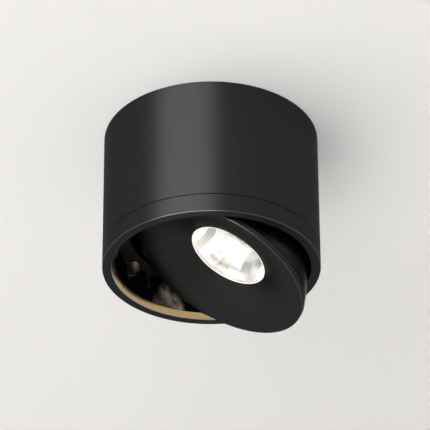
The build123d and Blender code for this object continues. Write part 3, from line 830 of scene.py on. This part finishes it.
@dataclass
class Workshop:
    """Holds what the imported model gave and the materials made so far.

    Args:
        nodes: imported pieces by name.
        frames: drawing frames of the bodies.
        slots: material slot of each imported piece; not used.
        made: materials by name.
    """

    nodes: dict[str, bpy.types.Object]
    frames: Frames
    slots: dict[str, str]
    made: dict[str, bpy.types.Material] = field(default_factory=dict)

    def material(self, finish: AnyFinish) -> bpy.types.Material:
        """Material of a finish, built once.

        Args:
            finish: the finish.

        Returns:
            The material.
        """
        if finish.name not in self.made:
            self.made[finish.name] = finish.build()
        return self.made[finish.name]

    def dress(self, finishes: dict[str, AnyFinish]) -> None:
        """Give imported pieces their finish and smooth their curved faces.

        Args:
            finishes: piece to finish.
        """
        for name, finish in finishes.items():
            node = self.nodes[name]
            node.data.materials.clear()
            node.data.materials.append(self.material(finish))
            for face in node.data.polygons:
                face.use_smooth = True
            weld = node.modifiers.new("weld", "WELD")
            weld.merge_threshold = 0.000001
            split = node.modifiers.new("creases", "EDGE_SPLIT")
            split.split_angle = math.radians(50.0)
            even = node.modifiers.new("even_shading", "WEIGHTED_NORMAL")
            even.mode = "FACE_AREA_WITH_ANGLE"
            LOG.info("%s kept, in %s", name, finish.name)

    def fit(self, piece: bpy.types.Object, node: str, body: Body, finish: AnyFinish) -> None:
        """Put a modelled piece in the place of a packed one.

        Args:
            piece: the modelled piece.
            node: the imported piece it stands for.
            body: the body it moves with.
            finish: its finish.
        """
        piece.data.materials.clear()
        piece.data.materials.append(self.material(finish))
        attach(piece, body.value)
        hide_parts(node)
        LOG.info("%s modelled, %d faces, in %s", piece.name, len(piece.data.polygons), finish.name)


@dataclass
class CeilingMount:
    """Ceiling plate with its bush, earth screw and the two headless screws in the tube's wall.

    Args:
        plate_thickness: sheet thickness of the plate.
        bush_bore: cable hole radius of the bush.
        bush_waist: radius of the bush in the plate.
        bush_lip: radius of its flange.
        bush_height: height of its flange.
        earth_place: place of the earth screw.
        earth_shank: radius of its shank.
        earth_head: radius and height of its head.
        earth_washer: radius and thickness of its washer.
        lock_angles: bearings of the headless screws.
        lock_drop: how far their axis lies below the ceiling.
        lock_radius: radius of the headless screws.
        lock_end: how far out their ends lie.
        lock_length: their length.
        lock_socket: corner radius and depth of their sockets.
    """

    plate_thickness: float = 1.5
    bush_bore: float = 6.0
    bush_waist: float = 9.0
    bush_lip: float = 11.0
    bush_height: float = 2.0
    earth_place: Point = (-22.0, -26.0)
    earth_shank: float = 1.95
    earth_head: Point = (3.5, 2.0)
    earth_washer: Point = (4.5, 1.0)
    lock_angles: tuple[float, ...] = (30.0, 150.0)
    lock_drop: float = 6.75
    lock_radius: float = 2.0
    lock_end: float = 59.7
    lock_length: float = 5.9
    lock_socket: Point = (1.05, 2.0)

    def build(self, shop: Workshop) -> None:
        """Model the pieces and dress the plate.

        Args:
            shop: the workshop.
        """
        shop.dress({"ceiling_plate": ZINC_STEEL})
        low = -self.plate_thickness - self.bush_height
        bush = lathe(rounded([
            Corner(self.bush_bore, low, 0.6), Corner(self.bush_lip, low, 0.9),
            Corner(self.bush_lip, -self.plate_thickness, 0.3),
            Corner(self.bush_waist, -self.plate_thickness), Corner(self.bush_waist, 0.0, 0.4),
            Corner(self.bush_bore, 0.0, 0.6)]), BUSH_SIDES)
        shop.fit(settle(bush, "cable_bush", shop.frames.housing), "cable_grommet", Body.HOUSING, BLACK_RUBBER)
        self._earth_screw(shop)
        self._lock_screws(shop)

    def _earth_screw(self, shop: Workshop) -> None:
        """Brass screw with its washer, head down.

        Args:
            shop: the workshop.
        """
        head_r, under_head = self.earth_head
        washer_r, seat = self.earth_washer[0], under_head + self.earth_washer[1]
        bar([Corner(head_r, 0.0, 0.6), Corner(head_r, under_head), Corner(washer_r, under_head, 0.2),
             Corner(washer_r, seat), Corner(self.earth_shank, seat),
             Corner(self.earth_shank, seat + self.plate_thickness, 0.3)], STUD_SIDES)
        place = moved_by(*self.earth_place, -self.plate_thickness - seat)
        screw = settle(bpy.context.object, "earth_stud", place)
        shop.fit(screw, "earth_screw", Body.HOUSING, BRASS)

    def _lock_screws(self, shop: Workshop) -> None:
        """Headless socket screws on the wall side.

        Args:
            shop: the workshop.
        """
        screw = bar([Corner(self.lock_radius, -self.lock_length, 0.3), Corner(self.lock_radius, 0.0, 0.3)],
                    SCREW_SIDES)
        sink_socket(*self.lock_socket)
        out = moved_by(self.lock_end, 0, -self.lock_drop) @ turned_by(90, "Y")
        group = copies(screw, [turned_by(angle) @ out for angle in self.lock_angles], "wall_set_screws",
                       shop.frames.housing)
        shop.fit(group, "housing_lock_screws", Body.HOUSING, BLACK_SCREW)


@dataclass
class GearBay:
    """Tube, tray, driver, terminal block and cord clamp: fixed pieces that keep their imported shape."""

    def build(self, shop: Workshop) -> None:
        """Dress the pieces.

        Args:
            shop: the workshop.
        """
        shop.dress({
            "housing_tube": BLACK_COAT, "gear_tray": ZINC_STEEL, "tray_screws": SCREW_STEEL,
            "tray_grommet": BLACK_RUBBER, "led_driver": DRIVER_PLASTIC, "driver_screws": SCREW_STEEL,
            "terminal_block": WHITE_PLASTIC, "terminal_screws": SCREW_STEEL, "cord_clamp": WHITE_PLASTIC,
            "cord_clamp_screws": SCREW_STEEL, "glide_ring_upper": SLIP_PLASTIC,
            "glide_ring_lower": BLACK_SLIP,
        })


@dataclass
class TurningMouth:
    """Lower ring that turns, with the gold ring in its mouth and the brackets inside.

    Args:
        rim_z: height of the rim.
        seat_r: radius of the seat of the gold ring.
        land: flat front of the ring.
        edge: cut edge between its front and its cone.
        throat_r: radius of its throat.
        inset: how far it lies inside the rim.
        height: height of the gold cone.
        back: height of its back edge above the cone.
        step: how far the back of the throat stands off.
    """

    rim_z: float = -83.8
    seat_r: float = 55.0
    land: float = 0.1
    edge: float = 0.2
    throat_r: float = 52.8
    inset: float = 0.15
    height: float = 3.45
    back: float = 0.5
    step: float = 0.4

    def build(self, shop: Workshop) -> None:
        """Model the gold ring and dress the rest.

        Args:
            shop: the workshop.
        """
        # the turning ring gets painted shade inside and painted glints
        shop.dress({
            "turning_ring": GLINT_SHADE_COAT, "carrier_ring": BLACK_STEEL, "carrier_screws": BLACK_SCREW,
            "arc_bracket_near": BLACK_STEEL, "arc_bracket_far": BLACK_STEEL, "bracket_screws": BLACK_SCREW,
        })
        low, top = self.rim_z + self.inset, self.rim_z + self.height + self.back
        front_r = self.seat_r - self.land
        gold = lathe(rounded([
            Corner(self.seat_r, low), Corner(front_r, low), Corner(front_r - self.edge, low + self.edge),
            Corner(self.throat_r, self.rim_z + self.height, 0.12), Corner(self.throat_r + self.step, top),
            Corner(self.seat_r, top)]), RIM_SIDES)
        shop.fit(settle(gold, "gold_ring", shop.frames.ring), "accent_ring", Body.TURNING_RING, GOLD_ANODISED)


@dataclass
class LampHead:
    """Front disc, seal and round body of the head. Heights are along the head's axis.

    Args:
        face: height of the disc's front edge.
        disc_r: radius of the disc.
        thickness: thickness of its flange.
        edge_round: fillet of its edges.
        aperture_r: radius of the light aperture.
        dish: depth of the dished face.
        dish_slope: slope of the face at its edge, in degrees.
        land: short bore at the aperture.
        glass_r: seat radius of the glass.
        collar_r: radius of the threaded collar.
        collar_z: its end.
        seal_inset: how far the seal lies inside the flange.
        seal_width: width of the seal.
        seal_height: height of the seal.
        seal_groove: depth of the groove round the seal.
        seal_lip: half the width of that groove.
        web_inset: how far the web starts inside the seal.
        web_shoulder: web thickness at the collar.
        thread_pitch: pitch of the collar's thread.
        thread_depth: its depth.
    """

    face: float = 8.45
    disc_r: float = 51.4
    thickness: float = 3.5
    edge_round: float = 0.5
    aperture_r: float = 22.8
    dish: float = 10.5
    dish_slope: float = 5.0
    land: float = 0.25
    glass_r: float = 24.0
    collar_r: float = 27.1
    collar_z: float = 25.0
    seal_inset: float = 1.9
    seal_width: float = 4.7
    seal_height: float = 0.8
    seal_groove: float = 0.3
    seal_lip: float = 0.1
    web_inset: float = 2.3
    web_shoulder: float = 0.6
    thread_pitch: float = 1.0
    thread_depth: float = 0.35

    def build(self, shop: Workshop) -> None:
        """Model the disc and the seal, and dress the rest.

        Args:
            shop: the workshop.
        """
        shop.dress({
            "heat_sink": BLACK_ANODISED, "head_grommet": BLACK_RUBBER, "guide_pins": BLACK_SCREW,
            "guide_rollers": BLACK_SLIP, "guide_washers": BLACK_SCREW, "friction_pads": BLACK_SLIP,
        })
        disc = lathe(self._disc_outline(), RIM_SIDES)
        finish = replace(BLACK_DISC, axis=tuple(shop.frames.head.col[2].xyz))
        shop.fit(settle(disc, "dished_disc", shop.frames.head), "front_disc", Body.LAMP_HEAD, finish)
        outer = self.disc_r - self.seal_inset
        low = self.face + self.thickness
        middle = low + self.seal_height / 2
        seal = lathe(rounded([
            Corner(outer - self.seal_width, low), Corner(outer, low, 0.1),
            Corner(outer, middle - self.seal_lip), Corner(outer - self.seal_groove, middle),
            Corner(outer, middle + self.seal_lip), Corner(outer, low + self.seal_height, 0.1),
            Corner(outer - self.seal_width, low + self.seal_height)]), SEAL_SIDES)
        shop.fit(settle(seal, "disc_seal", shop.frames.head), "disc_gasket", Body.LAMP_HEAD, BLACK_RUBBER)

    def _disc_outline(self) -> list[Point]:
        """Outline of the disc: flange, dished face, aperture and threaded collar.

        Returns:
            Its points.
        """
        face, back = self.face, self.face + self.thickness
        aperture_z = face + self.dish
        bezel_z = aperture_z + self.land
        edge = (self.disc_r - self.edge_round, face)
        flange = rounded([
            Corner(self.disc_r - self.seal_inset - self.seal_width - self.web_inset, back),
            Corner(self.disc_r, back, self.edge_round), Corner(self.disc_r, face, self.edge_round),
            Corner(self.disc_r - 2.0, face)])[:-1]
        dish = bowed(edge, (self.aperture_r, aperture_z), math.radians(self.dish_slope), 20)
        bore = [(self.aperture_r, aperture_z), (self.aperture_r, bezel_z), (self.glass_r, bezel_z),
                (self.glass_r, self.collar_z)]
        return flange + dish + bore + self._thread(aperture_z + self.web_shoulder)

    def _thread(self, low: float) -> list[Point]:
        """Grooves on the collar, from its end down to the web.

        Args:
            low: height where the web meets the collar.

        Returns:
            The points.
        """
        points = [(self.collar_r - self.thread_depth, self.collar_z)]
        height = self.collar_z - self.thread_pitch / 2
        while height > low + self.thread_pitch:
            points.append((self.collar_r, height))
            points.append((self.collar_r - self.thread_depth, height - self.thread_pitch / 2))
            height -= self.thread_pitch
        return points + [(self.collar_r, low)]


@dataclass
class Optic:
    """Bezel, glass, faceted reflector and light source behind the aperture.

    Args:
        bezel_z: front of the bezel.
        bezel_thickness: its thickness.
        bezel_r: its outer radius.
        mouth: its inner radius, and the mouth of the reflector.
        glass_thickness: thickness of the glass.
        glass_r: radius of the glass.
        wall: wall of the reflector.
        flange: thickness of its seating flange.
        throat: radius of its throat.
        back: height of its back edge.
        bulge: how far the cup swells beyond a straight cone.
        facets: number of facets.
        emitter_r: radius of the light source.
        emitter_z: height of the board it sits on.
        emitter_height: height of the light source.
        emitter_step: how far the top of its rim and its face lie inside its radius.
        emitter_rim: height of its rim above the face.
    """

    bezel_z: float = 19.2
    bezel_thickness: float = 1.2
    bezel_r: float = 23.95
    mouth: float = 21.6
    glass_thickness: float = 1.6
    glass_r: float = 23.9
    wall: float = 1.2
    flange: float = 0.8
    throat: float = 7.8
    back: float = 38.0
    bulge: float = 2.6
    facets: int = 20
    emitter_r: float = 7.0
    emitter_z: float = 39.2
    emitter_height: float = 0.5
    emitter_step: Point = (0.7, 0.9)
    emitter_rim: float = 0.12

    def build(self, shop: Workshop) -> None:
        """Model the optic and dress the board and its holder.

        Args:
            shop: the workshop.
        """
        shop.dress({"thermal_pad": GREY_PAD, "led_board": BOARD_WHITE, "led_holder": WHITE_PLASTIC,
                    "holder_screws": SCREW_STEEL})
        head = shop.frames.head
        glass_z = self.bezel_z + self.bezel_thickness
        bezel = lathe(rounded([
            Corner(self.bezel_r, self.bezel_z), Corner(self.bezel_r, glass_z), Corner(self.mouth, glass_z),
            Corner(self.mouth, self.bezel_z, 0.45)]), SEAL_SIDES)
        finish = replace(BRIGHT_METAL, axis=tuple(head.col[2].xyz))
        shop.fit(settle(bezel, "bright_bezel", head), "lens_bezel", Body.LAMP_HEAD, finish)
        top = glass_z + self.glass_thickness
        bar([Corner(self.glass_r, glass_z, 0.2), Corner(self.glass_r, top, 0.2)], GLASS_SIDES)
        glass = settle(bpy.context.object, "lens_glass", head)
        shop.fit(glass, "cover_glass", Body.LAMP_HEAD, GLASS)
        cup = settle(lathe(self._cup_outline(top), self.facets), "faceted_cup", head, crease=12.0)
        self._paint_facet_light(cup, head)
        shop.fit(cup, "reflector", Body.LAMP_HEAD, MIRROR_METAL)
        low = self.emitter_z - self.emitter_height
        rim, (step, face) = low + self.emitter_rim, self.emitter_step
        bar([Corner(self.emitter_r - face, low, 0.15), Corner(self.emitter_r - step, rim),
             Corner(self.emitter_r, rim, 0.1), Corner(self.emitter_r, self.emitter_z)], EMITTER_SIDES)
        source = settle(bpy.context.object, "light_source", head)
        shop.fit(source, "led_emitter", Body.LAMP_HEAD, PHOSPHOR)

    def _paint_facet_light(self, cup: bpy.types.Object, head: Matrix) -> None:
        """Give every facet a painted brightness of its own, kept in the mesh, standing in for how the lamp
        lights it.

        Args:
            cup: the reflector.
            head: frame of the head.
        """
        tone = cup.data.attributes.new("facet", "FLOAT", "FACE")
        inward = head.inverted()
        for face in cup.data.polygons:
            spot = inward @ face.center
            index = int((math.atan2(spot.y, spot.x) / math.tau + 1.0) * self.facets) % self.facets
            # the painted brightness follows a fixed shuffle of the facets
            tone.data[face.index].value = (index * 7 % self.facets) / (self.facets - 1)

    def _cup_outline(self, low: float) -> list[Point]:
        """Outline of the reflector: bowed cup inside, flange and bowed wall outside.

        Args:
            low: height of its front edge.

        Returns:
            Its points.
        """
        steps = 14
        inner = []
        for step in range(steps + 1):
            share = step / steps
            radius = self.mouth + (self.throat - self.mouth) * share + self.bulge * math.sin(math.pi * share)
            inner.append((radius, low + (self.back - low) * share))
        outer = [(radius + self.wall, height) for radius, height in reversed(inner)]
        lip = [(self.mouth + self.wall, low + self.flange), (self.glass_r, low + self.flange),
               (self.glass_r, low)]
        return inner + outer[:-1] + lip


# ---- stage --------------------------------------------------------------------------------------
@dataclass
class Stage:
    """Pale ceiling above the fitting and pale floor below it.

    Args:
        half_width: half the side of the ceiling.
        floor_drop: floor level below the ceiling.
        ceiling_lift: gap that keeps the ceiling off the housing's top edge.
        paint: colour of the ceiling.
        glow: colour it adds for the camera and in reflections.
        glow_share: share of that colour.
        floor_half: half the side of the floor.
        floor_colour: colour of the floor.
        floor_glow: colour the floor adds for the camera alone.
        world_seen: strength of the world where it is looked at.
        world_light: strength with which it lights the object.
    """

    half_width: float = 6.0
    floor_drop: float = 2.4
    ceiling_lift: float = 0.0002
    paint: Colour = (0.80, 0.785, 0.77)
    glow: Colour = (0.80, 0.785, 0.77)
    glow_share: float = 0.26
    floor_half: float = 1.6
    floor_colour: Colour = (0.78, 0.77, 0.76)
    floor_glow: Colour = (0.55, 0.55, 0.55)
    world_seen: float = 0.82
    world_light: float = 0.2

    def build(self) -> None:
        """Add both planes and the world."""
        ceiling = self._plane("ceiling", self.half_width, self.ceiling_lift, True)
        ceiling.data.materials.append(self._ceiling_paint())
        floor = self._plane("floor", self.floor_half, -self.floor_drop, False)
        floor.data.materials.append(self._floor_paint())
        self._world()

    def _plane(self, name: str, half: float, height: float, facing_down: bool) -> bpy.types.Object:
        """Add one plane.

        Args:
            name: object name.
            half: half its side.
            height: level.
            facing_down: whether its front is below.

        Returns:
            The plane.
        """
        bpy.ops.object.select_all(action="DESELECT")
        bpy.ops.mesh.primitive_plane_add(size=2 * half, location=(0, 0, 0))
        plane = bpy.context.object
        plane.name = name
        plane.data.transform(Matrix.Translation((0, 0, height)))
        if facing_down:
            plane.data.flip_normals()
        return plane

    def _ceiling_paint(self) -> bpy.types.Material:
        """Matt paint, seen from below only, so that views from above look through it.

        Returns:
            The material.
        """
        material, tree, shader = fresh_material("ceiling_paint")
        shader.inputs["Roughness"].default_value = 0.9
        shader.inputs["Specular IOR Level"].default_value = 0.1
        shader.inputs["Base Color"].default_value = (*self.paint, 1.0)
        shader.inputs["Emission Color"].default_value = (*self.glow, 1.0)
        tree.links.new(self._seen(tree, self.glow_share), shader.inputs["Emission Strength"])
        clear = tree.nodes.new("ShaderNodeBsdfTransparent")
        side = tree.nodes.new("ShaderNodeNewGeometry")
        mix = tree.nodes.new("ShaderNodeMixShader")
        tree.links.new(side.outputs["Backfacing"], mix.inputs["Fac"])
        tree.links.new(shader.outputs["BSDF"], mix.inputs[1])
        tree.links.new(clear.outputs["BSDF"], mix.inputs[2])
        tree.links.new(mix.outputs["Shader"], tree.nodes["Material Output"].inputs["Surface"])
        return material

    def _seen(self, tree: bpy.types.NodeTree, strength: float, unseen: float = 0.0) -> bpy.types.NodeSocket:
        """Strength for rays that look, from the camera, in a mirror or through glass.

        Args:
            tree: node tree.
            strength: strength for those rays.
            unseen: strength for every other ray.

        Returns:
            The strength socket.
        """
        path = tree.nodes.new("ShaderNodeLightPath")
        either = path.outputs["Is Camera Ray"]
        for kind in ("Is Glossy Ray", "Is Transmission Ray"):
            greater = tree.nodes.new("ShaderNodeMath")
            greater.operation = "MAXIMUM"
            tree.links.new(either, greater.inputs[0])
            tree.links.new(path.outputs[kind], greater.inputs[1])
            either = greater.outputs["Value"]
        span = tree.nodes.new("ShaderNodeMapRange")
        span.inputs["To Min"].default_value = unseen
        span.inputs["To Max"].default_value = strength
        tree.links.new(either, span.inputs["Value"])
        return span.outputs["Result"]

    def _floor_paint(self) -> bpy.types.Material:
        """Pale matt floor.

        Returns:
            The material.
        """
        material, tree, shader = fresh_material("floor_paint")
        shader.inputs["Base Color"].default_value = (*self.floor_colour, 1.0)
        shader.inputs["Roughness"].default_value = 0.9
        shader.inputs["Emission Color"].default_value = (*self.floor_glow, 1.0)
        path = tree.nodes.new("ShaderNodeLightPath")
        tree.links.new(path.outputs["Is Camera Ray"], shader.inputs["Emission Strength"])
        return material

    def _world(self) -> None:
        """Pale world for the camera, dimmer light for the object."""
        world = bpy.data.worlds.new("room")
        bpy.context.scene.world = world
        world.use_nodes = True
        tree = world.node_tree
        back = tree.nodes["Background"]
        back.inputs["Color"].default_value = (1.0, 1.0, 1.0, 1.0)
        tree.links.new(self._seen(tree, self.world_seen, self.world_light), back.inputs["Strength"])


@dataclass
class SoftLamp:
    """A rectangular lamp aimed at a point.

    Args:
        name: object name.
        place: where it stands.
        aim: where it points.
        size: width and height.
        power: watts.
        colour: colour of the light.
        in_reflections: whether shiny surfaces show it.
    """

    name: str
    place: Vector
    aim: Vector
    size: tuple[float, float]
    power: float
    colour: Colour = (1.0, 1.0, 1.0)
    in_reflections: bool = True

    def build(self) -> bpy.types.Object:
        """Add the lamp.

        Returns:
            The lamp object.
        """
        data = bpy.data.lights.new(self.name, "AREA")
        data.shape = "RECTANGLE"
        data.size, data.size_y = self.size
        data.energy = self.power
        data.color = self.colour
        lamp = bpy.data.objects.new(self.name, data)
        bpy.context.scene.collection.objects.link(lamp)
        lamp.visible_camera = False
        lamp.visible_glossy = self.in_reflections
        lamp.location = self.place
        lamp.rotation_euler = (self.aim - self.place).to_track_quat("-Z", "Y").to_euler()
        return lamp


@dataclass
class Viewpoint:
    """The camera, placed as for the photograph.

    Args:
        place: where it stands.
        yaw: turn about Z away from +Y, in radians.
        pitch: how far it looks up, in radians.
        roll: turn about the line of sight, in radians.
        lens: focal length in millimetres on a 36 mm sensor.
    """

    place: Vector = field(default_factory=lambda: Vector((0.0, -1.40874, -0.94025)))
    yaw: float = 0.0014866
    pitch: float = 0.5643729
    roll: float = -0.0058758
    lens: float = 251.6

    def build(self) -> bpy.types.Object:
        """Add the camera and make it the scene's.

        Returns:
            The camera object.
        """
        sight = Vector((math.sin(self.yaw) * math.cos(self.pitch),
                        math.cos(self.yaw) * math.cos(self.pitch), math.sin(self.pitch)))
        level = Vector((math.cos(self.yaw), -math.sin(self.yaw), 0.0))
        upright = level.cross(sight)
        right = level * math.cos(self.roll) + upright * math.sin(self.roll)
        up = upright * math.cos(self.roll) - level * math.sin(self.roll)
        data = bpy.data.cameras.new("photo_camera")
        data.lens = self.lens
        data.sensor_width = 36.0
        data.clip_start, data.clip_end = 0.05, 50.0
        camera = bpy.data.objects.new("photo_camera", data)
        bpy.context.scene.collection.objects.link(camera)
        turn = Matrix((right, up, -sight)).transposed().to_4x4()
        camera.matrix_world = Matrix.Translation(self.place) @ turn
        bpy.context.scene.camera = camera
        return camera


def light_up() -> None:
    """A strip lamp low on the left, and a broad soft lamp that gives the ceiling its shadow.

    The strip is stronger than a plain level, at which its highlight on the tube would be dimmer.
    """
    middle = Vector((0.0, 0.0, -0.05))
    lamps = (
        SoftLamp("key_strip", Vector((-0.93, -2.0, -0.24)), middle, (2.3, 0.42), 84.0),
        SoftLamp("ceiling_wash", Vector((-0.9, 0.15, -2.1)), middle, (2.4, 2.4), 26.0, in_reflections=False),
    )
    for lamp in lamps:
        lamp.build()


def main() -> None:
    """Build the camera, every sub-assembly, the stage and the lamps."""
    logging.basicConfig(level=logging.INFO, format="%(name)s: %(message)s")
    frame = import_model()
    Viewpoint().build()
    record = frame["record"]
    shop = Workshop(
        nodes=frame["nodes"],
        frames=Frames.from_joints(record["behaviour"]["joints"]),
        slots={part["node"]: part["material_slot"] for part in record["subparts"]},
    )
    for assembly in (CeilingMount(), GearBay(), TurningMouth(), LampHead(), Optic()):
        assembly.build(shop)
    Stage().build()
    light_up()
    bpy.context.scene.view_settings.view_transform = "Standard"


if __name__ == "__main__":
    main()
